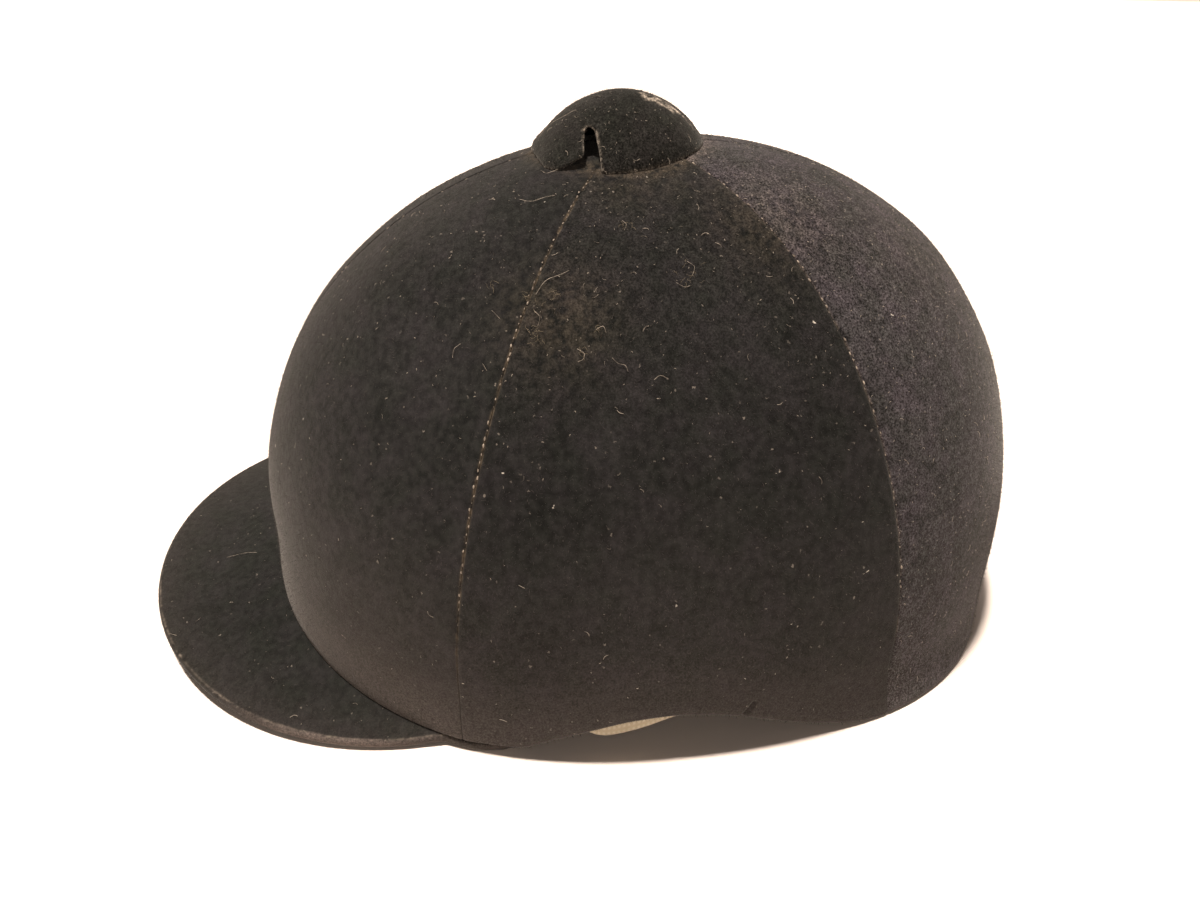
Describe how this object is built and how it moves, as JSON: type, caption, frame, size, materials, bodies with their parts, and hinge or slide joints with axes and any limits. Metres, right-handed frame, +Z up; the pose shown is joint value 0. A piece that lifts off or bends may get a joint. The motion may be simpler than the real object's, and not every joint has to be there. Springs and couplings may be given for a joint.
{
  "type": "riding hat",
  "caption": "Velvet-covered riding hat with a gored crown, an arched peak, a slotted vent cap on top and a cream chin strap lying inside.",
  "frame": {"origin": "on the table under the middle of the hat's length and width", "axes": "+Z up, -Y towards the peak, +X towards the wearer's left"},
  "size_m": [0.2164, 0.2893, 0.1581],
  "materials": {
    "crown_velvet": "black velvet with a short pile",
    "peak_velvet": "black velvet, rubbed paler along its edge",
    "cap_velvet": "black velvet, worn at its edges",
    "strap_webbing": "cream woven webbing"
  },
  "bodies": {
    "root": {"crown_front_left": "crown_velvet", "crown_front_right": "crown_velvet", "crown_side_left": "crown_velvet", "crown_side_right": "crown_velvet", "crown_back_left": "crown_velvet", "crown_back_right": "crown_velvet", "peak": "peak_velvet", "vent_cap": "cap_velvet", "chin_strap": "strap_webbing"}
  },
  "joints": []
}
